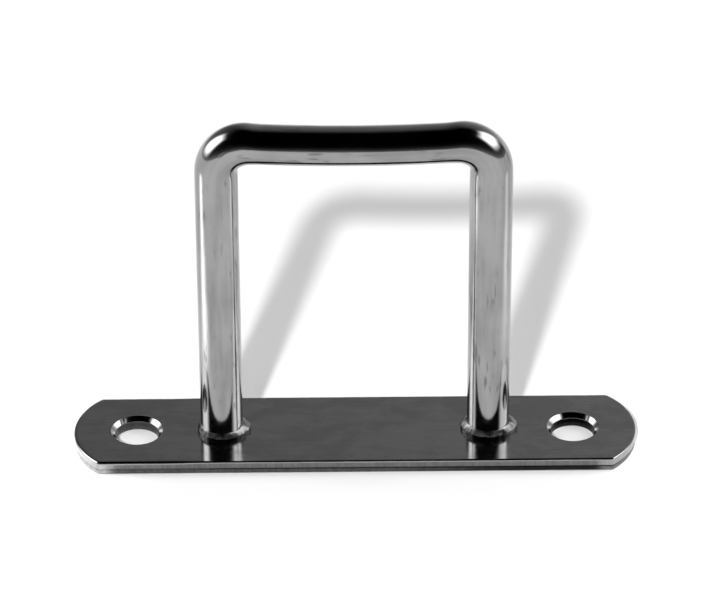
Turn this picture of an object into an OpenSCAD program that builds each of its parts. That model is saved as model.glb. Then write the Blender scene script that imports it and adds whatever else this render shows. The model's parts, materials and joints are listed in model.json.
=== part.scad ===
// Welded pad eye: a bow of round bar whose two legs pass through a flat strip and are welded to it
// above and below. Millimetres, +Z up, X along the strip, origin at the middle of the strip's underside.

/* [Base plate] */
// Length of the strip, measured over both rounded ends
plate_l = 80; // [76:1:110]
// Width of the strip
plate_w = 16.5; // [13:0.5:20]
// Thickness of the strip
plate_t = 2; // [1.5:0.25:4]
// Radius of each end, larger than half the width so that two soft corners are left
end_r = 11; // [10:0.5:20]
// Size of the broken edge along the strip's rim and under each screw hole
edge_break = 0.3; // [0.1:0.05:0.5]

/* [Screw holes] */
// Diameter of each screw hole
screw_d = 6.2; // [4:0.2:7.4]
// Distance between the two screw holes
screw_pitch = 62; // [56:1:64]
// Size of the chamfer at the top of each screw hole
screw_chamfer = 0.6; // [0.2:0.05:0.9]

/* [Bow] */
// Diameter of the round bar
bar_d = 6; // [4:0.5:8]
// Distance between the axes of the two legs
leg_pitch = 37.8; // [30:0.2:44]
// Height of the bar's axis at the top of each bend, above the strip
eye_h = 46.8; // [25:0.2:70]
// Radius of each bend, measured to the bar's axis
bend_r = 4.2; // [4.2:0.1:10]
// How far the middle of the crossbar lies below its two ends
crossbar_sag = 0.45; // [0.2:0.05:1]

/* [Welds] */
// Height of the bead round each leg
bead_h = 1.5; // [0.6:0.1:2]
// Width of the bead at the strip, from the leg outwards
bead_w = 1; // [0.6:0.05:1.5]
// Depth of the countersink under the strip that holds the root weld
root_depth = 1; // [0.8:0.1:1.2]
// Distance from the strip's underside up to the end of each leg
leg_recess = 0.7; // [0.4:0.1:0.8]

/* [Hidden] */
$fn = 96;
// Sides of the bar, and steps along each of its arcs
bar_sides = 64;
arc_steps = 16;

bar_r = bar_d / 2;
screw_r = screw_d / 2;
leg_x = leg_pitch / 2;
end_x = plate_l / 2 - end_r;

// The crossbar is a shallow arc that meets both bends at a tangent.
bend_x = leg_x - bend_r;
bend_z = plate_t + eye_h - bend_r;
dip_angle = 2 * atan(crossbar_sag / bend_x);
crossbar_r = bend_x / sin(dip_angle) - bend_r;
crossbar_z = bend_z + (crossbar_r + bend_r) * cos(dip_angle);

// The bead's section is the cap of a circle whose centre lies below the strip's top face.
bead_r = (bead_w * bead_w + bead_h * bead_h) / (2 * bead_h);

through = 1;
steel = [0.74, 0.75, 0.77];
weld_steel = [0.66, 0.65, 0.63];

// A disc whose rim is broken at both faces.
module broken_disc(r, t, edge) {
    rotate_extrude()
        polygon([[0, 0], [r - edge, 0], [r, edge], [r, t - edge], [r - edge, t], [0, t]]);
}

// A straight bar along X with the strip's section, its four long edges broken.
module strip_bar(l, w, t, edge) {
    half = w / 2;
    rotate([90, 0, 90])
        linear_extrude(height = l, center = true)
            polygon([[-half + edge, 0], [half - edge, 0], [half, edge], [half, t - edge],
                     [half - edge, t], [-half + edge, t], [-half, t - edge], [-half, edge]]);
}

// A through hole, chamfered above and with a broken edge below.
module screw_hole() {
    translate([0, 0, -through]) cylinder(r = screw_r, h = plate_t + 2 * through);
    cylinder(r1 = screw_r + edge_break, r2 = screw_r, h = edge_break);
    translate([0, 0, plate_t - screw_chamfer])
        cylinder(r1 = screw_r, r2 = screw_r + screw_chamfer, h = screw_chamfer);
}

// The leg's hole, countersunk from below for the root weld.
module leg_hole() {
    translate([0, 0, -through]) cylinder(r = bar_r, h = plate_t + 2 * through);
    cylinder(r1 = bar_r + root_depth, r2 = bar_r, h = root_depth);
}

module base_plate() {
    color(steel)
        difference() {
            intersection() {
                strip_bar(plate_l + 2 * through, plate_w, plate_t, edge_break);
                union() {
                    translate([-end_x, -plate_w, 0]) cube([2 * end_x, 2 * plate_w, plate_t]);
                    for (side = [-1, 1]) translate([side * end_x, 0, 0])
                        broken_disc(end_r, plate_t, edge_break);
                }
            }
            for (side = [-1, 1]) {
                translate([side * screw_pitch / 2, 0, 0]) screw_hole();
                translate([side * leg_x, 0, 0]) leg_hole();
            }
        }
}

// An arc of the bar in the plane of the bow, from one angle to another about its centre.
module bar_arc(r, from, to) {
    sweep = to - from;
    rotate([90, 0, 0])
        rotate([0, 0, from])
            rotate_extrude(angle = sweep, $fn = arc_steps * 360 / sweep)
                translate([r, 0]) circle(r = bar_r, $fn = bar_sides);
}

// One leg, its bend and half of the crossbar.
module half_bow() {
    translate([leg_x, 0, leg_recess]) cylinder(r = bar_r, h = bend_z - leg_recess, $fn = bar_sides);
    translate([bend_x, 0, bend_z]) bar_arc(bend_r, 0, 90 + dip_angle);
    translate([0, 0, crossbar_z]) bar_arc(crossbar_r, 270, 270 + dip_angle);
}

module bow() {
    color(steel)
        for (turn = [0, 180]) rotate([0, 0, turn]) half_bow();
}

// The raised bead in the corner between a leg and the strip's top face.
module weld_bead(side) {
    color(weld_steel)
        translate([side * leg_x, 0, plate_t])
            rotate_extrude()
                intersection() {
                    translate([bar_r, 0]) square([bead_w + through, bead_h + through]);
                    translate([bar_r, bead_h - bead_r]) circle(r = bead_r);
                }
}

// The weld that fills the countersink and closes over the leg's end, flush with the underside.
module root_weld(side) {
    color(weld_steel)
        translate([side * leg_x, 0, 0])
            rotate_extrude()
                polygon([[0, 0], [bar_r + root_depth, 0], [bar_r, root_depth],
                         [bar_r, leg_recess], [0, leg_recess]]);
}

module left_weld_bead() { weld_bead(-1); }
module right_weld_bead() { weld_bead(1); }
module left_root_weld() { root_weld(-1); }
module right_root_weld() { root_weld(1); }

base_plate();
bow();
left_weld_bead();
right_weld_bead();
left_root_weld();
right_root_weld();
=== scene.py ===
"""The looks of a welded pad eye: a polished strip, a bent round bar, its weld beads and ground root welds."""

import json
import math

import bmesh
import bpy
import numpy as np
from mathutils import Matrix, Vector, geometry, noise


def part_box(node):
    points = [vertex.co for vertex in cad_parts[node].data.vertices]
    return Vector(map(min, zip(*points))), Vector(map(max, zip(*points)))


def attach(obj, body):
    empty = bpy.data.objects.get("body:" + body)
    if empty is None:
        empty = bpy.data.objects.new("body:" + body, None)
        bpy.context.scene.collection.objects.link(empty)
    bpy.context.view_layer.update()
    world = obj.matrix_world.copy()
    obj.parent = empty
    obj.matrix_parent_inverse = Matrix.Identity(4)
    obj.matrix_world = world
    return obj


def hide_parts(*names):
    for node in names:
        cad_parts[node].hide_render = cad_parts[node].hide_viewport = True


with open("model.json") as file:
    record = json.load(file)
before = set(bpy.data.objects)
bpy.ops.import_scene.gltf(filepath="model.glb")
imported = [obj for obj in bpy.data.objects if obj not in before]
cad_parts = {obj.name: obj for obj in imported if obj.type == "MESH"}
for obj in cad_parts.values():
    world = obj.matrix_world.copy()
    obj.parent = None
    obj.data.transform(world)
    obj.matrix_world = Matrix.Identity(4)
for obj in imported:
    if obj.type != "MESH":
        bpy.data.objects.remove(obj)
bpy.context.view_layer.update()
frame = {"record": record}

mounts = {mount["name"]: mount for mount in frame["record"]["mounts"]}

# ---------------------------------------------------------------- sizes, in metres, from the frame

MM = 0.001
_, plate_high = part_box("base_plate")
bow_low, bow_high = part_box("bow")
bead_low, bead_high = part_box("right_weld_bead")
root_low, root_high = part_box("right_root_weld")

PLATE_T = plate_high.z
PLATE_HALF_W = plate_high.y
BAR_R = bow_high.y
LEG_X = bow_high.x - BAR_R
SCREW_X = mounts["right_screw_hole"]["pos_m"][0]
SCREW_R = mounts["right_screw_hole"]["dims"]["r_mm"] * MM
BEAD_H = bead_high.z - bead_low.z
BEAD_W = (bead_high.x - bead_low.x) / 2 - BAR_R
ROOT_R = (root_high.x - root_low.x) / 2
ROOT_DEPTH = root_high.z
LEG_END_Z = bow_low.z

# What the boxes don't say
END_R = 11 * MM
CORNER_R = 0.8 * MM      # softened corner between a straight side and a rounded end
BEND_R = 4.2 * MM
SAG = 0.45 * MM
SCREW_CHAMFER = 0.6 * MM
SHEAR_Z = 0.92 * MM      # where a sheared edge's smooth band ends and the torn one starts
WALL_SHARE = 0.36        # height of a bead's steep outer wall, as a share of the bead's


def smooth(t):
    """0 below 0, 1 above 1, and a soft S between."""
    t = min(max(t, 0.0), 1.0)
    return t * t * (3 - 2 * t)


def mix(a, b, t):
    return a + (b - a) * t


def rough(x, y, z, size):
    """Smooth noise from about -1 to 1, whose features are about this size."""
    return noise.noise(Vector((x, y, z)) / size)


def new_piece(name, verts, faces, materials, body="root", node=None):
    """A closed, smooth-shaded mesh that rides on a body and stands for a CAD node."""
    mesh = bpy.data.meshes.new(name)
    mesh.from_pydata([tuple(v) for v in verts], [], faces)
    mesh.validate()
    built = bmesh.new()
    built.from_mesh(mesh)
    bmesh.ops.recalc_face_normals(built, faces=built.faces)
    built.to_mesh(mesh)
    built.free()
    for polygon in mesh.polygons:
        polygon.use_smooth = True
    for material in materials:
        mesh.materials.append(material)
    piece = bpy.data.objects.new(name, mesh)
    bpy.context.scene.collection.objects.link(piece)
    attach(piece, body)
    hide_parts(node)
    return piece


def bridge(faces, lower, upper):
    """Quads between two closed rings of vertex numbers."""
    count = len(lower)
    for i in range(count):
        j = (i + 1) % count
        faces.append((lower[i], lower[j], upper[j], upper[i]))


# ---------------------------------------------------------------- materials

# Where, along X, the tone of the strip's sheared edge changes: from and to
BRIGHT_END = (33.5 * MM, 35.5 * MM)     # either side of the middle, towards a rounded end, where a painted reflection brightens the edge
PLAIN_LEFT = (-26 * MM, -14 * MM)       # to the left of this the torn band has hardly any painted shade line
DARKER_RIGHT = (2 * MM, 24 * MM)        # to the right of this the torn band is darker
PAINTED_SHADE_LINE = (0.42 * MM, 0.12 * MM)      # how far under the smooth band the painted shade line fades out and is full


class Nodes:
    """A short way to write a material's node tree."""

    def __init__(self, name):
        self.material = bpy.data.materials.new(name)
        self.material.use_nodes = True
        self.tree = self.material.node_tree
        self.tree.nodes.clear()
        self.output = self.add("OutputMaterial")
        self.shader = self.add("BsdfPrincipled")
        self.tree.links.new(self.shader.outputs[0], self.output.inputs["Surface"])

    def add(self, kind, **settings):
        node = self.tree.nodes.new("ShaderNode" + kind)
        for key, value in settings.items():
            setattr(node, key, value)
        return node

    def put(self, node, **inputs):
        """Sets or links inputs; a name with underscores stands for the socket's name with spaces."""
        for key, value in inputs.items():
            socket = node.inputs[key.replace("_", " ")]
            if isinstance(value, bpy.types.NodeSocket):
                self.tree.links.new(value, socket)
            else:
                socket.default_value = value
        return node

    def place(self):
        return self.add("TexCoord").outputs["Object"]

    def attribute(self, name):
        return self.add("Attribute", attribute_name=name).outputs["Vector"]

    def scaled(self, vector, scale):
        node = self.add("Mapping", vector_type="POINT")
        self.put(node, Vector=vector, Scale=scale)
        return node.outputs[0]

    def noise(self, vector, scale=1.0, detail=3.0, roughness=0.5, distortion=0.0):
        node = self.add("TexNoise")
        self.put(node, Vector=vector, Scale=scale, Detail=detail, Roughness=roughness,
                 Distortion=distortion)
        return node.outputs[0]

    def cells(self, vector, scale):
        node = self.add("TexVoronoi", feature="F1")
        self.put(node, Vector=vector, Scale=scale)
        return node.outputs["Distance"]

    def ramp(self, value, low, high, to_low=0.0, to_high=1.0):
        node = self.add("MapRange", interpolation_type="SMOOTHSTEP")
        self.put(node, Value=value, From_Min=low, From_Max=high, To_Min=to_low, To_Max=to_high)
        return node.outputs[0]

    def maths(self, operation, a, b=0.0):
        node = self.add("Math", operation=operation)
        for socket, value in zip(node.inputs, (a, b)):
            if isinstance(value, bpy.types.NodeSocket):
                self.tree.links.new(value, socket)
            else:
                socket.default_value = value
        return node.outputs[0]

    def total(self, *values):
        result = values[0]
        for value in values[1:]:
            result = self.maths("ADD", result, value)
        return result

    def axis(self, number):
        """One coordinate of the place: 0 along the strip, 1 across it, 2 up."""
        split = self.add("SeparateXYZ")
        self.put(split, Vector=self.place())
        return split.outputs[number]

    def ends(self, left, right):
        """1 along the strip's straight sides, and these at its rounded ends: a painted reflection that makes
        the ends brighter.
        """
        start, full = BRIGHT_END
        at_left = self.ramp(self.axis(0), -start, -full, 0.0, left - 1)
        at_right = self.ramp(self.axis(0), start, full, 0.0, right - 1)
        return self.total(at_left, at_right, 1.0)

    def times(self, value, factor):
        return self.maths("MULTIPLY", value, factor)

    def colours(self, factor, low, high):
        node = self.add("Mix", data_type="RGBA")
        self.tree.links.new(factor, node.inputs[0])
        node.inputs[6].default_value = (*low, 1)
        node.inputs[7].default_value = (*high, 1)
        return node.outputs[2]

    def bump(self, height, distance):
        node = self.add("Bump")
        self.put(node, Height=height, Strength=1.0, Distance=distance)
        return node.outputs[0]


def bar_material():
    """Polished bright bar: fine drawing lines along it, polishing marks round it, a few pits."""
    m = Nodes("polished_bar")
    along = m.attribute("bar_co")
    lines = m.noise(m.scaled(along, (60, 2600, 2600)), detail=4, roughness=0.6)
    streaks = m.noise(m.scaled(along, (70, 700, 700)), detail=3, roughness=0.55)
    rings = m.noise(m.scaled(along, (5200, 260, 260)), detail=2)
    cloud = m.noise(along, scale=170, detail=4)
    pits = m.ramp(m.cells(m.scaled(along, (230, 560, 560)), 1.0), 0.06, 0.16)
    pit_zones = m.ramp(m.noise(along, scale=120, detail=2), 0.54, 0.64)
    pitted = m.maths("MAXIMUM", pits, m.maths("SUBTRACT", 1.0, pit_zones))
    flecks = m.ramp(m.noise(m.scaled(along, (230, 1300, 1300)), detail=2, roughness=0.5), 0.54, 0.70)
    marked = m.times(flecks, m.ramp(m.noise(along, scale=95, detail=2), 0.44, 0.6, 0.1, 1.0))
    tone = m.ramp(m.total(m.times(streaks, 0.6), m.times(cloud, 0.4)), 0.35, 0.65, 0.27, 0.37)
    tone = m.times(tone, m.ramp(pitted, 0.0, 1.0, 0.7, 1.0))
    tone = m.times(tone, m.ramp(marked, 0.0, 1.0, 1.0, 0.58))
    m.put(m.shader, Base_Color=tone, Metallic=1.0,
          Roughness=m.total(m.ramp(cloud, 0.3, 0.7, 0.08, 0.14), m.ramp(pitted, 0, 1, 0.08, 0.0)),
          Normal=m.bump(m.total(m.times(lines, 0.35), m.times(rings, 0.08), m.times(streaks, 0.8),
                                m.times(pitted, 1.4)), 0.006 * MM))
    return m.material


def plate_material():
    """Bright cold-rolled strip: near-mirror, hairline scratches, soft stains and a few specks."""
    m = Nodes("polished_plate")
    place = m.place()
    grain = m.noise(m.scaled(place, (110, 3800, 400)), detail=4, roughness=0.6)
    scuffs = m.noise(m.scaled(place, (500, 1700, 500)), detail=3, distortion=0.6)
    cloud = m.noise(place, scale=130, detail=4)
    stains = m.noise(m.scaled(place, (180, 320, 180)), detail=5, roughness=0.62, distortion=0.4)
    specks = m.ramp(m.cells(place, 520), 0.05, 0.14)
    speck_zones = m.ramp(m.noise(place, scale=150, detail=2), 0.5, 0.6)
    specked = m.maths("MAXIMUM", specks, m.maths("SUBTRACT", 1.0, speck_zones))
    tone = m.total(m.times(m.ramp(grain, 0.35, 0.65), 0.3), m.times(m.ramp(stains, 0.38, 0.62), 0.7))
    m.put(m.shader, Base_Color=m.colours(tone, (0.30, 0.30, 0.305), (0.38, 0.38, 0.385)),
          Metallic=1.0, Anisotropic=0.3,
          Roughness=m.total(m.ramp(cloud, 0.3, 0.7, 0.10, 0.17), m.ramp(scuffs, 0.55, 0.75, 0.0, 0.08),
                            m.ramp(specked, 0, 1, 0.05, 0.0)),
          Normal=m.bump(m.total(m.times(grain, 0.25), m.times(cloud, 0.5), m.times(specked, 0.8)),
                        0.004 * MM))
    return m.material


def land_material():
    """The smooth upper band of a sheared edge: bright, with fine upright drag lines, and a painted reflection
    at its rounded ends.
    """
    m = Nodes("sheared_land")
    place = m.place()
    drag = m.noise(m.scaled(place, (2600, 2600, 160)), detail=4, roughness=0.65)
    # Painted reflection: the rounded ends are made brighter
    tone = m.times(m.ramp(drag, 0.3, 0.7, 0.13, 0.19), m.ends(2.7, 2.0))
    m.put(m.shader, Base_Color=tone, Metallic=1.0, Roughness=m.ramp(drag, 0.3, 0.7, 0.16, 0.26),
          Normal=m.bump(drag, 0.008 * MM))
    return m.material


def break_material():
    """The torn lower band of a sheared edge, and a drilled wall: dark and coarse, with a painted shade line
    under the smooth band and a painted reflection at the rounded ends.
    """
    m = Nodes("sheared_break")
    place = m.place()
    torn = m.noise(m.scaled(place, (1500, 1500, 1300)), detail=5, roughness=0.65)
    grit = m.cells(place, 5200)
    x, z = m.axis(0), m.axis(2)
    fades_out, full = PAINTED_SHADE_LINE
    # Painted shade: a dark line just under the smooth band, weaker at the left
    shade_under_land = m.ramp(z, SHEAR_Z - fades_out, SHEAR_Z - full, 1.0, 0.12)
    plain_left = m.ramp(x, *PLAIN_LEFT, 0.75, 0.0)
    shade_line = m.maths("MAXIMUM", shade_under_land, plain_left)
    darker_right = m.ramp(x, *DARKER_RIGHT, 1.0, 0.22)
    # Painted reflection: the rounded ends of the torn band are made brighter
    tone = m.times(m.times(shade_line, darker_right), m.ends(4.0, 8.0))
    tone = m.times(tone, m.ramp(torn, 0.3, 0.7, 0.08, 0.14))
    m.put(m.shader, Base_Color=tone, Metallic=1.0, Roughness=m.ramp(torn, 0.3, 0.7, 0.36, 0.5),
          Normal=m.bump(m.total(torn, m.times(grit, 0.5)), 0.03 * MM))
    return m.material


def weld_material():
    """Weld metal: brushed and part polished above, with painted shade darkening its steep outer wall."""
    m = Nodes("weld_bead")
    place = m.place()
    brushed = m.noise(m.scaled(place, (1500, 1500, 5200)), detail=4, roughness=0.6)
    cloud = m.noise(place, scale=900, detail=4)
    toe_top = PLATE_T + WALL_SHARE * BEAD_H
    height = m.total(m.axis(2), m.times(cloud, 0.3 * MM), -0.15 * MM)
    # Painted shade: the tone falls to about a fifth below the top of the steep wall
    wall_shade = m.ramp(height, toe_top - 0.14 * MM, toe_top + 0.12 * MM, 0.22, 1.0)
    tone = m.times(m.ramp(cloud, 0.35, 0.65, 0.12, 0.24), wall_shade)
    m.put(m.shader, Base_Color=tone, Metallic=1.0, Roughness=m.ramp(cloud, 0.3, 0.7, 0.20, 0.34),
          Normal=m.bump(m.total(m.times(brushed, 0.5), cloud), 0.015 * MM))
    return m.material


def ground_material():
    """Weld metal ground flush: straight parallel grinding lines."""
    m = Nodes("ground_weld")
    place = m.place()
    lines = m.noise(m.scaled(place, (5200, 240, 240)), detail=4, roughness=0.65)
    cloud = m.noise(place, scale=500, detail=3)
    m.put(m.shader, Metallic=1.0,
          Base_Color=m.colours(m.ramp(lines, 0.3, 0.7), (0.30, 0.297, 0.29), (0.45, 0.446, 0.44)),
          Roughness=m.total(m.ramp(cloud, 0.3, 0.7, 0.26, 0.4), m.ramp(lines, 0.5, 0.8, 0, 0.1)),
          Normal=m.bump(lines, 0.015 * MM))
    return m.material


bar_steel = bar_material()
plate_steel = plate_material()
land_steel = land_material()
break_steel = break_material()
weld_steel = weld_material()
ground_steel = ground_material()

# ---------------------------------------------------------------- base plate

TOP_ROUND = 0.30 * MM       # roll-over at the strip's upper edge
TEAR_DEPTH = 0.13 * MM      # how far the torn band is cut back under the smooth one
BURR_ROUND = 0.10 * MM      # rounding at the strip's lower edges
HOLE_ROUND = 0.07 * MM      # rounding at both ends of a screw hole's chamfer
SUPPORT = 0.25 * MM         # a ring on the flat, next to an edge, that keeps the flat's shading flat
HOLE_WOBBLE = 0.03 * MM     # how far a chamfer's mouth is from round
PULL_DEPTH = 0.012 * MM     # dip of the top face round a leg
PULL_REACH = 6 * MM
WAVE_HEIGHT = 0.004 * MM    # waviness of the top face
TOP_SPACING = 0.7 * MM      # between the points sprinkled on the top face
UNDER_SPACING = 1.6 * MM
ROW_RATIO = 0.866           # gap between rows of those points, over the gap between points
CLEARANCE = 0.6             # gap between those points and an edge, over the gap between points

# Numbers of steps
ROUND_STEPS = 6
TEAR_STEPS = 8
END_STEPS = 24
CORNER_STEPS = 6
SIDE_STEPS = 60
HOLE_SIDES = 112


def rounded(before, corner, after, size):
    """(inset, height) along a small rounding that replaces a corner of a section."""
    points = []
    for i in range(ROUND_STEPS + 1):
        t = i / ROUND_STEPS
        start = [c + (b - c) * size / math.dist(before, corner) for b, c in zip(before, corner)]
        end = [c + (a - c) * size / math.dist(after, corner) for a, c in zip(after, corner)]
        points.append(tuple((1 - t) ** 2 * p + 2 * t * (1 - t) * c + t * t * q
                            for p, c, q in zip(start, corner, end)))
    return points


def wear(x, y):
    """How much larger than usual the roll-over is: it grows towards the strip's left end."""
    return 1 + 0.45 * smooth((-x - 20 * MM) / (8 * MM)) + 0.12 * rough(x, y, 0.7, 4 * MM)


def tear(t):
    """How far the torn band is cut back, from its top at 0 to its foot at 1: steeply at first."""
    return TEAR_DEPTH * (1 - (1 - min(t / 0.35, 1.0)) ** 2) * (1 - 0.35 * t)


def edge_profile():
    """(inset, height, kind) down the strip's sheared edge, from the flat top to the flat underside."""
    top = (0.0, PLATE_T)
    section = [(TOP_ROUND + SUPPORT, PLATE_T, "flat")]
    section += [(*p, "flat") for p in rounded((1.0, PLATE_T), top, (0.0, 0.0), TOP_ROUND)]
    section.append((0.0, mix(PLATE_T - TOP_ROUND, SHEAR_Z, 0.5), "land"))
    section.append((0.0, SHEAR_Z, "land"))
    for i in range(1, TEAR_STEPS + 1):
        section.append((tear(i / TEAR_STEPS), mix(SHEAR_Z, BURR_ROUND, i / TEAR_STEPS), "break"))
    foot = tear(1.0)
    section += [(*p, "flat") for p in rounded((foot, PLATE_T), (foot, 0.0), (1.0, 0.0), BURR_ROUND)[1:]]
    section.append((foot + BURR_ROUND + SUPPORT, 0.0, "flat"))
    return section


def hole_profile():
    """(distance out from the hole's wall, height, kind) down a chamfered screw hole."""
    mouth, throat = (SCREW_CHAMFER, PLATE_T), (0.0, PLATE_T - SCREW_CHAMFER)
    section = [(SCREW_CHAMFER + SUPPORT, PLATE_T, "flat")]
    section += [(*p, "flat") for p in rounded((1.0, PLATE_T), mouth, throat, HOLE_ROUND)]
    section += [(*p, "flat") for p in rounded(mouth, throat, (0.0, 0.0), HOLE_ROUND)]
    bore_end = section[-1][1]
    for i in range(1, TEAR_STEPS + 1):
        section.append((0.0, mix(bore_end, BURR_ROUND, i / TEAR_STEPS), "break"))
    section += [(*p, "flat") for p in rounded((0.0, PLATE_T), (0.0, 0.0), (1.0, 0.0), BURR_ROUND)[1:]]
    section.append((BURR_ROUND + SUPPORT, 0.0, "flat"))
    return section


def plate_outline():
    """Points of the plate's outline, anticlockwise, each with its outward normal."""
    end_x = plate_high.x - END_R
    corner_y = PLATE_HALF_W - CORNER_R
    corner_x = end_x + math.sqrt((END_R - CORNER_R) ** 2 - corner_y ** 2)
    turn = math.atan2(corner_y, corner_x - end_x)
    quarter = []
    for i in range(END_STEPS + 1):
        a = turn * i / END_STEPS
        n = (math.cos(a), math.sin(a))
        quarter.append(((end_x + END_R * n[0], END_R * n[1]), n))
    for i in range(1, CORNER_STEPS + 1):
        a = mix(turn, math.pi / 2, i / CORNER_STEPS)
        n = (math.cos(a), math.sin(a))
        quarter.append(((corner_x + CORNER_R * n[0], corner_y + CORNER_R * n[1]), n))
    for i in range(1, SIDE_STEPS + 1):
        quarter.append(((corner_x * (1 - i / SIDE_STEPS), PLATE_HALF_W), (0.0, 1.0)))
    half = quarter + [((-p[0], p[1]), (-n[0], n[1])) for p, n in reversed(quarter[:-1])]
    return half + [((p[0], -p[1]), (n[0], -n[1])) for p, n in reversed(half[1:-1])]


def root_outline(angle, side):
    """Radius of the root weld's edge: not quite round, as its countersink isn't."""
    wobble = 0.10 * math.sin(2 * angle + side) + 0.06 * math.sin(5 * angle + 2 * side)
    return ROOT_R * (0.985 + 0.05 * wobble)


def weld_pull(x, y):
    """How far the top face lies below its true height near the welds, and its slight waviness."""
    dip = sum(math.exp(-((x - s * LEG_X) ** 2 + y * y) / PULL_REACH ** 2) for s in (-1, 1))
    return -PULL_DEPTH * dip + WAVE_HEIGHT * rough(x, y, 0.3, 9 * MM) - WAVE_HEIGHT


def inside_plate(x, y, inset):
    end_x = plate_high.x - END_R
    reach = math.hypot(max(abs(x) - end_x, 0.0), y)
    return abs(y) < PLATE_HALF_W - inset and (abs(x) < end_x or reach < END_R - inset)


def fill_flat(verts, faces, loops, holes, inset, z, spacing, lift):
    """Triangulates a flat face between the loops, with a regular sprinkling of points inside."""
    coords, numbers, edges = [], [], []
    for loop in loops:
        start = len(coords)
        for i, number in enumerate(loop):
            coords.append(Vector(verts[number][:2]))
            numbers.append(number)
            edges.append((start + i, start + (i + 1) % len(loop)))
    rows = int(PLATE_HALF_W / spacing)
    for row in range(-rows, rows + 1):
        for column in range(-int(plate_high.x / spacing), int(plate_high.x / spacing) + 1):
            x, y = (column + 0.5 * (row % 2)) * spacing, row * spacing * ROW_RATIO
            clear = all(math.hypot(x - cx, y) > r + CLEARANCE * spacing for cx, r in holes)
            if clear and inside_plate(x, y, inset + CLEARANCE * spacing):
                coords.append(Vector((x, y)))
                numbers.append(len(verts))
                verts.append((x, y, z + lift(x, y)))
    found = geometry.delaunay_2d_cdt(coords, edges, [], 0, 1e-9)
    origin = [numbers[sources[0]] for sources in found[3]]
    for face in found[2]:
        cx = sum(found[0][i].x for i in face) / 3
        cy = sum(found[0][i].y for i in face) / 3
        solid = all(math.hypot(cx - hx, cy) > r for hx, r in holes)
        if solid and inside_plate(cx, cy, inset):
            faces.append(tuple(origin[i] for i in face))


def build_plate():
    verts, faces, kinds = [], [], []
    profile, hole = edge_profile(), hole_profile()
    outline = plate_outline()

    def ring(points):
        start = len(verts)
        verts.extend(points)
        return list(range(start, len(verts)))

    def wall(rings_and_kinds):
        for (upper, _), (lower, kind) in zip(rings_and_kinds, rings_and_kinds[1:]):
            before = len(faces)
            bridge(faces, lower, upper)
            kinds.extend([kind] * (len(faces) - before))

    def torn(x, y, z, kind):
        return 0.018 * MM * rough(x, y, z * 0.4, 0.35 * MM) if kind == "break" else 0.0

    # The outer edge
    rings = []
    for inset, z, kind in profile:
        points = []
        for (x, y), (nx, ny) in outline:
            rolled = wear(x, y) if z > PLATE_T - TOP_ROUND * 1.001 else 1.0
            d = inset * rolled + torn(x, y, z, kind)
            lift = weld_pull(x, y) if z == PLATE_T else 0.0
            points.append((x - nx * d, y - ny * d, PLATE_T - (PLATE_T - z) * rolled + lift))
        rings.append((ring(points), kind))
    wall(rings)
    top_loops, bottom_loops = [rings[0][0]], [rings[-1][0]]

    # The screw holes
    top_holes, bottom_holes = [], []
    for side in (-1, 1):
        rings = []
        for inset, z, kind in hole:
            points = []
            for i in range(HOLE_SIDES):
                a = -2 * math.pi * i / HOLE_SIDES
                c, s = math.cos(a), math.sin(a)
                r = SCREW_R + inset + HOLE_WOBBLE * math.sin(3 * a + side) * inset / SCREW_CHAMFER
                r += torn(side * SCREW_X + r * c, r * s, z, kind)
                x, y = side * SCREW_X + r * c, r * s
                points.append((x, y, z + (weld_pull(x, y) if z == PLATE_T else 0.0)))
            rings.append((ring(points), kind))
        wall(rings)
        top_loops.append(rings[0][0])
        bottom_loops.append(rings[-1][0])
        top_holes.append((side * SCREW_X, SCREW_R + hole[0][0]))
        bottom_holes.append((side * SCREW_X, SCREW_R + hole[-1][0]))

    # The leg holes, countersunk below for the root weld
    for side in (-1, 1):
        rings = []
        for level in range(6):
            points = []
            for i in range(HOLE_SIDES):
                a = -2 * math.pi * i / HOLE_SIDES
                edge = root_outline(a, side) + 0.01 * MM
                r, z = [(BAR_R + 0.3 * MM, PLATE_T), (BAR_R, PLATE_T), (BAR_R, mix(PLATE_T, ROOT_DEPTH, 0.5)),
                        (BAR_R, ROOT_DEPTH), (edge, 0.0), (edge + SUPPORT, 0.0)][level]
                x, y = side * LEG_X + r * math.cos(a), r * math.sin(a)
                points.append((x, y, z + (weld_pull(x, y) if z == PLATE_T else 0.0)))
            rings.append((ring(points), "flat"))
        wall(rings)
        top_loops.append(rings[0][0])
        bottom_loops.append(rings[-1][0])
        top_holes.append((side * LEG_X, BAR_R + 0.29 * MM))
        bottom_holes.append((side * LEG_X, ROOT_R * 0.99 + SUPPORT))

    fill_flat(verts, faces, top_loops, top_holes, profile[0][0], PLATE_T, TOP_SPACING, weld_pull)
    fill_flat(verts, faces, bottom_loops, bottom_holes, profile[-1][0], 0.0, UNDER_SPACING, lambda x, y: 0.0)
    kinds.extend(["flat"] * (len(faces) - len(kinds)))
    plate = new_piece("base_plate_steel", verts, faces, [plate_steel, land_steel, break_steel],
                      node="base_plate")
    order = {"flat": 0, "land": 1, "break": 2}
    for polygon, kind in zip(plate.data.polygons, kinds):
        polygon.material_index = order[kind]
    return plate


build_plate()

# ---------------------------------------------------------------- bow

BAR_SIDES = 96
RING_GAP = 0.35 * MM
CROSSBAR_HALF_H = 2.73 * MM   # the crossbar is a little lower than it is deep
CROSSBAR_HALF_D = 3.03 * MM
BEND_OUTER = 2.96 * MM        # the outer side of a bend, from the bar's axis
BEND_INNER = 2.98 * MM
BEND_HALF_D = 3.06 * MM
DENT_DEPTH = 0.006 * MM       # unevenness of the polished surface
DENT_SIZE = 5 * MM


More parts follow.
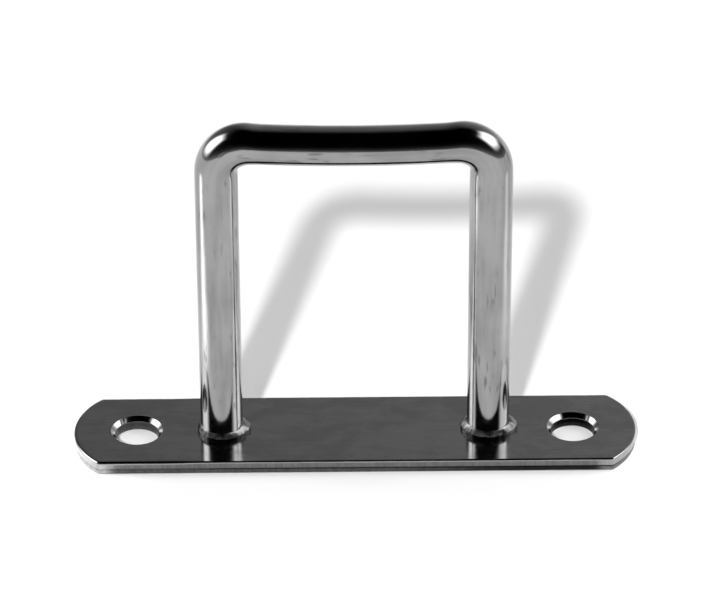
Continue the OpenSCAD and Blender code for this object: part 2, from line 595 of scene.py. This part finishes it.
def bow_path():
    """(point, outward direction, length so far, part, how far into the part) along the bar's axis."""
    bend_x = LEG_X - BEND_R
    bend_z = bow_high.z - BAR_R - BEND_R
    dip = 2 * math.atan(SAG / bend_x)
    crossbar_r = bend_x / math.sin(dip) - BEND_R
    crossbar_z = bend_z + (crossbar_r + BEND_R) * math.cos(dip)
    leg = bend_z - LEG_END_Z
    bend = BEND_R * (math.pi / 2 + dip)
    half = crossbar_r * dip
    lengths = [leg, bend, 2 * half, bend, leg]
    total = sum(lengths)
    count = int(total / RING_GAP)
    path = []
    for i in range(count + 1):
        s = total * i / count
        mirrored = s > total / 2
        u = total - s if mirrored else s
        if u < leg:
            p, n = (-LEG_X, LEG_END_Z + u), (-1.0, 0.0)
        elif u < leg + bend:
            a = math.pi - (u - leg) / BEND_R
            n = (math.cos(a), math.sin(a))
            p = (-bend_x + BEND_R * n[0], bend_z + BEND_R * n[1])
        else:
            a = -math.pi / 2 - dip + (u - leg - bend) / crossbar_r
            p = (crossbar_r * math.cos(a), crossbar_z + crossbar_r * math.sin(a))
            n = (-math.cos(a), -math.sin(a))
        bend_share = smooth((u - leg + 1.5 * MM) / (3 * MM)) * smooth((leg + bend + 2 * MM - u) / (4 * MM))
        crossbar_share = smooth((u - leg - bend + 2 * MM) / (4 * MM))
        if mirrored:
            p, n = (-p[0], p[1]), (-n[0], n[1])
        path.append((p, n, s, bend_share, crossbar_share))
    return path


def build_bow():
    verts, faces, bar_co = [], [], []
    rings = []
    for (px, pz), (nx, nz), s, bend_share, crossbar_share in bow_path():
        outer = mix(mix(BAR_R, BEND_OUTER, bend_share), CROSSBAR_HALF_H, crossbar_share)
        inner = mix(mix(BAR_R, BEND_INNER, bend_share), CROSSBAR_HALF_H, crossbar_share)
        depth = mix(mix(BAR_R, BEND_HALF_D, bend_share), CROSSBAR_HALF_D, crossbar_share)
        ring = []
        for i in range(BAR_SIDES):
            a = 2 * math.pi * i / BAR_SIDES
            c, d = math.cos(a), math.sin(a)
            reach = (outer if c > 0 else inner) * c
            dent = DENT_DEPTH * rough(s, 3 * MM * c, 3 * MM * d, DENT_SIZE)
            ring.append(len(verts))
            verts.append((px + nx * (reach + dent * c), (depth + dent) * d, pz + nz * (reach + dent * c)))
            bar_co.append((s, BAR_R * c, BAR_R * d))
        rings.append(ring)
    for lower, upper in zip(rings, rings[1:]):
        bridge(faces, lower, upper)
    faces.append(tuple(reversed(rings[0])))
    faces.append(tuple(rings[-1]))
    bow = new_piece("bow_bar", verts, faces, [bar_steel], node="bow")
    mesh = bow.data
    unbent = mesh.attributes.new("bar_co", "FLOAT_VECTOR", "POINT")
    unbent.data.foreach_set("vector", np.array(bar_co, np.float32).ravel())
    return bow


build_bow()

# ---------------------------------------------------------------- welds

RIPPLES = 19
RIPPLE_HEIGHT = 0.035 * MM
BEAD_SUNK = 0.08 * MM        # how far a bead's hidden faces go into the metal that it is fused with
BEAD_STEPS = 276
SHELF_STEPS = 16
WALL_STEPS = 10
SMOOTHINGS = 3
NARROWEST = 0.36             # a bead's width in front and behind, as a share of BEAD_W
# For the left and the right bead: how much wider it is along the strip, and how much of that leans right
BEAD_SPREAD = {-1: (0.37, 0.33), 1: (0.62, 0.16)}
ROOT_LEVELS = 14


def bead_section():
    """(share of the width, share of the height) down a bead: a sloping shelf, then a steep wall."""
    section = []
    for i in range(SHELF_STEPS + 1):
        t = i / SHELF_STEPS
        section.append((t, 1 - (1 - WALL_SHARE) * t ** 1.3))
    for i in range(1, WALL_STEPS + 1):
        t = i / WALL_STEPS
        section.append((1 - 0.05 * math.sin(math.pi * t), WALL_SHARE * (1 - t)))
    for _ in range(SMOOTHINGS):
        inner = [tuple((a + 2 * b + c) / 4 for a, b, c in zip(*three))
                 for three in zip(section, section[1:], section[2:])]
        section = [section[0], *inner, section[-1]]
    return section


def build_bead(side, name, node):
    """A tall bead, narrow in front and behind and wider along the plate, with soft ripples."""
    section = bead_section()
    spread, heavier_right = BEAD_SPREAD[side]
    verts, faces, columns = [], [], []
    for i in range(BEAD_STEPS):
        a = 2 * math.pi * i / BEAD_STEPS
        c, d = math.cos(a), math.sin(a)
        uneven = rough(4 * c + 20 * side, 4 * d, 0.0, 2.2)
        sideways = c ** 4
        width = BEAD_W * (NARROWEST + (spread + heavier_right * c) * sideways + 0.06 * uneven)
        height = BEAD_H * (0.86 + 0.04 * side + 0.08 * sideways + 0.06 * rough(4 * c, 4 * d, 9.0 * side, 1.6))
        column = []

        def add(r, z):
            column.append(len(verts))
            verts.append((side * LEG_X + r * c, r * d, z))

        for j, (out, up) in enumerate(section):
            v = j / (len(section) - 1)
            phase = (RIPPLES * a / (2 * math.pi) + 1.3 * (v - 0.4) ** 2 + 0.25 * uneven) % 1.0
            crest = 1 - (2 * phase - 1) ** 2
            swell = RIPPLE_HEIGHT * (crest - 0.5) * math.sin(math.pi * v)
            lean = math.pi / 2 * (1 - v)
            add(BAR_R + width * out + swell * math.cos(lean), PLATE_T + height * up + swell * math.sin(lean))
        add(BAR_R + width, PLATE_T - BEAD_SUNK)
        add(BAR_R - BEAD_SUNK, PLATE_T - BEAD_SUNK)
        add(BAR_R - BEAD_SUNK, PLATE_T + height)
        columns.append(column)
    for i in range(BEAD_STEPS):
        bridge(faces, columns[i], columns[(i + 1) % BEAD_STEPS])
    return new_piece(name, verts, faces, [weld_steel], node=node)


def build_root(side, name, node):
    """The plug under a leg, ground flush, with a hairline where it meets the strip."""
    verts, faces, rings = [], [], []
    centre_x = side * LEG_X

    def ring(radius, height):
        start = len(verts)
        for i in range(HOLE_SIDES):
            a = 2 * math.pi * i / HOLE_SIDES
            r, x_part, y_part = radius(a), math.cos(a), math.sin(a)
            verts.append((centre_x + r * x_part, r * y_part, height(r * x_part, r * y_part)))
        rings.append(list(range(start, len(verts))))

    def ground(x, y):
        return 0.012 * MM + 0.008 * MM * rough(x, y, side, 1.6 * MM)

    verts.append((centre_x, 0.0, ground(0, 0)))
    for level in range(1, ROOT_LEVELS + 1):
        share = 0.97 * level / ROOT_LEVELS
        ring(lambda a: root_outline(a, side) * share, ground)
    ring(lambda a: root_outline(a, side) - 0.05 * MM, lambda x, y: 0.03 * MM)
    ring(lambda a: root_outline(a, side), lambda x, y: 0.06 * MM)
    ring(lambda a: BAR_R, lambda x, y: ROOT_DEPTH - 0.01 * MM)
    ring(lambda a: BAR_R, lambda x, y: LEG_END_Z)
    for i in range(HOLE_SIDES):
        faces.append((0, rings[0][(i + 1) % HOLE_SIDES], rings[0][i]))
    for lower, upper in zip(rings, rings[1:]):
        bridge(faces, lower, upper)
    faces.append(tuple(rings[-1]))
    return new_piece(name, verts, faces, [ground_steel], node=node)


for side, word in ((-1, "left"), (1, "right")):
    build_bead(side, word + "_bead", word + "_weld_bead")
    build_root(side, word + "_root", word + "_root_weld")

# ---------------------------------------------------------------- floor, light and camera

FLOOR_SIZE = 12.0
WHITE_FLOOR = (0.80, 0.80, 0.80)
KEY_AZIMUTH = -13.0      # degrees round from the front; negative is to the left
KEY_ELEVATION = 36.0
KEY_SPREAD = 3.5         # degrees across
KEY_STRENGTH = 3.2

# Each soft box: its azimuth from and to, its elevation from and to, in degrees, and its brightness.
# Azimuth 0 is behind the object, and positive is to the right.
SOFT_BOXES = ((-100, -60, 12, 45, 5.8), (58, 113, 22, 53, 4.8))
BOX_EDGE = 11            # degrees over which a soft box fades out, either side of its edge
BACK_GLOW = 0.66         # brightness of the backdrop at the horizon
BACK_FADE = 38           # degrees of elevation over which it falls to about a third
BACK_TOP = (74, 46)      # elevations at which it is gone and at which it is whole
BACK_SIDES = (-70, 60)   # azimuths past which it fades out
BACK_TURN = (-22, 14, 0.34, 1.1)   # azimuth from and to, and the factors that it rises between
HAZE_GLOW = 0.35         # brightness just above the floor's far edge, all round
HAZE_FADE = 7            # degrees of elevation over which it falls to about a third

# Lamps low over the floor to the left and right. The legs' sides and the plate's ends mirror the floor that
# these light, not the lamps. Each one's middle and its length along X, in metres, and its power.
POOLS = ((-0.080, 0.076, 0.015), (0.080, 0.076, 0.0055))
POOL_Y = -0.004
POOL_WIDTH = 0.016
POOL_HEIGHT = 0.03
POOL_SPREAD = 60         # degrees


def build_floor():
    mesh = bpy.data.meshes.new("floor")
    h = FLOOR_SIZE / 2
    mesh.from_pydata([(-h, -h, 0), (h, -h, 0), (h, h, 0), (-h, h, 0)], [], [(0, 1, 2, 3)])
    floor = bpy.data.objects.new("floor", mesh)
    bpy.context.scene.collection.objects.link(floor)
    m = Nodes("floor_white")
    m.put(m.shader, Base_Color=(*WHITE_FLOOR, 1), Roughness=1.0, Specular_IOR_Level=0.0)
    mesh.materials.append(m.material)


def sun(name, azimuth, elevation, spread, strength):
    """A sun that lights the floor but isn't itself mirrored in the polished metal."""
    light = bpy.data.lights.new(name, "SUN")
    light.energy = strength
    light.angle = math.radians(spread)
    lamp = bpy.data.objects.new(name, light)
    lamp.visible_glossy = False
    a, e = math.radians(azimuth), math.radians(elevation)
    towards = Vector((math.sin(a) * math.cos(e), -math.cos(a) * math.cos(e), math.sin(e)))
    lamp.rotation_euler = towards.to_track_quat("Z", "Y").to_euler()
    bpy.context.scene.collection.objects.link(lamp)


def floor_pool(x, length, power):
    """A narrow pool of light on the floor beside the object."""
    light = bpy.data.lights.new("pool", "AREA")
    light.shape = "RECTANGLE"
    light.size, light.size_y = length, POOL_WIDTH
    light.spread = math.radians(POOL_SPREAD)
    light.energy = power
    lamp = bpy.data.objects.new("pool", light)
    lamp.visible_glossy = False
    lamp.visible_camera = False
    lamp.location = (x, POOL_Y, POOL_HEIGHT)
    bpy.context.scene.collection.objects.link(lamp)


def studio():
    """World light by direction: a soft box left and right, dark in front and overhead, a graded backdrop."""
    world = bpy.data.worlds.new("studio")
    world.use_nodes = True
    bpy.context.scene.world = world
    tree = world.node_tree
    tree.nodes.clear()

    def add(kind, **settings):
        node = tree.nodes.new("ShaderNode" + kind)
        for key, value in settings.items():
            setattr(node, key, value)
        return node

    def feed(node, *values):
        for socket, value in zip(node.inputs, values):
            if isinstance(value, bpy.types.NodeSocket):
                tree.links.new(value, socket)
            else:
                socket.default_value = value
        return node.outputs[0]

    def maths(operation, a, b=0.0):
        return feed(add("Math", operation=operation), a, b)

    def step(value, low, high, to_low=0.0, to_high=1.0):
        return feed(add("MapRange", interpolation_type="SMOOTHSTEP"), value, low, high, to_low, to_high)

    def window(value, low, high):
        return maths("MULTIPLY", step(value, low - BOX_EDGE, low + BOX_EDGE),
                     step(value, high + BOX_EDGE, high - BOX_EDGE))

    def glow(strength, fade):
        return maths("MULTIPLY", maths("EXPONENT", maths("DIVIDE", elevation, -fade)), strength)

    split = add("SeparateXYZ")
    tree.links.new(add("TexCoord").outputs["Generated"], split.inputs[0])
    x, y, z = split.outputs
    azimuth = maths("DEGREES", maths("ARCTAN2", x, y))
    elevation = maths("MAXIMUM", maths("DEGREES", maths("ARCSINE", z)), 0.0)

    # The backdrop: brightest at the horizon and to the right, gone overhead and past either soft box
    behind = maths("MULTIPLY", glow(BACK_GLOW, BACK_FADE), step(elevation, *BACK_TOP))
    behind = maths("MULTIPLY", behind, step(azimuth, *BACK_TURN))
    behind = maths("MULTIPLY", behind, window(azimuth, *BACK_SIDES))
    seen = maths("ADD", behind, glow(HAZE_GLOW, HAZE_FADE))
    for az_from, az_to, el_from, el_to, strength in SOFT_BOXES:
        box = maths("MULTIPLY", window(azimuth, az_from, az_to), window(elevation, el_from, el_to))
        seen = maths("ADD", seen, maths("MULTIPLY", box, strength))

    # The camera itself sees plain white past the floor
    path = add("LightPath").outputs["Is Camera Ray"]
    shown = maths("ADD", maths("MULTIPLY", seen, maths("SUBTRACT", 1.0, path)), path)
    background = add("Background")
    tree.links.new(shown, background.inputs["Strength"])
    background.inputs["Color"].default_value = (1, 1, 1, 1)
    tree.links.new(background.outputs[0], add("OutputWorld").inputs["Surface"])


CAMERA_AZIMUTH = -0.41       # degrees, like the next two
CAMERA_ELEVATION = 32.0
CAMERA_ROLL = -0.244
CAMERA_DISTANCE = 0.5932     # metres
CAMERA_LENS = 214.8          # millimetres
CAMERA_AIM = Vector((0.23 * MM, 0.0, 23.5 * MM))


def build_camera():
    camera = bpy.data.objects.new("camera", bpy.data.cameras.new("camera"))
    camera.data.lens = CAMERA_LENS
    camera.data.sensor_width = 36.0
    camera.data.clip_start = 0.01
    camera.data.clip_end = 50.0
    a, e, roll = (math.radians(v) for v in (CAMERA_AZIMUTH, CAMERA_ELEVATION, CAMERA_ROLL))
    back = Vector((math.sin(a) * math.cos(e), -math.cos(a) * math.cos(e), math.sin(e)))
    right = Vector((math.cos(a), math.sin(a), 0.0))
    up = back.cross(right)
    turned_right = right * math.cos(roll) + up * math.sin(roll)
    turned_up = up * math.cos(roll) - right * math.sin(roll)
    axes = Matrix((turned_right, turned_up, back)).transposed().to_4x4()
    camera.matrix_world = Matrix.Translation(CAMERA_AIM + back * CAMERA_DISTANCE) @ axes
    bpy.context.scene.collection.objects.link(camera)
    bpy.context.scene.camera = camera


build_floor()
sun("key", KEY_AZIMUTH, KEY_ELEVATION, KEY_SPREAD, KEY_STRENGTH)
for pool in POOLS:
    floor_pool(*pool)
studio()
build_camera()
bpy.context.scene.view_settings.view_transform = "Standard"
